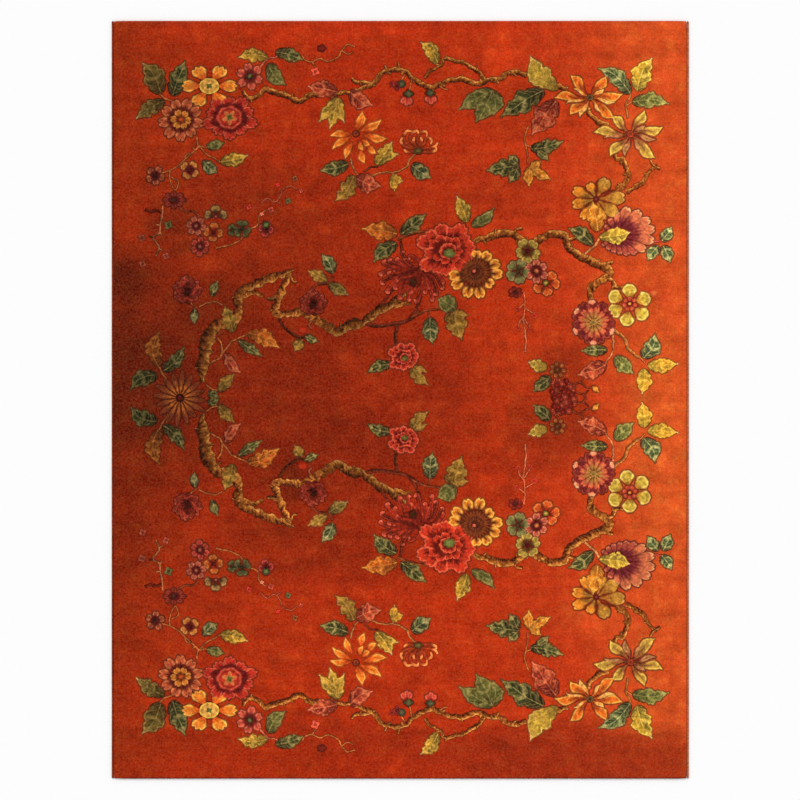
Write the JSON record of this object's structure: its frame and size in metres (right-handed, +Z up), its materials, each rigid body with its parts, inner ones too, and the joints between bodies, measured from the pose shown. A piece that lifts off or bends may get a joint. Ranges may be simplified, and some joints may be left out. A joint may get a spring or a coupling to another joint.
{
  "type": "hand-knotted wool rug",
  "caption": "Flat room-sized hand-knotted wool rug: flowering branches, leaves and blossoms on a red ground, with an overcast cord down each long side.",
  "frame": {"origin": "middle of the underside, on the floor", "axes": "+Z up through the pile, +X across the rug, +Y along its length, towards the picture's top"},
  "size_m": [2.743, 3.6, 0.012],
  "materials": {
    "wool_pile": "clipped wool pile, dyed madder red to orange with maroon shading, leaves and blossoms in green, gold, rose and crimson",
    "overcast_wool": "brownish red wool yarn wound close around the side warps"
  },
  "bodies": {
    "root": {"pile_field": "wool_pile", "side_cord_left": "overcast_wool", "side_cord_right": "overcast_wool"}
  },
  "joints": []
}
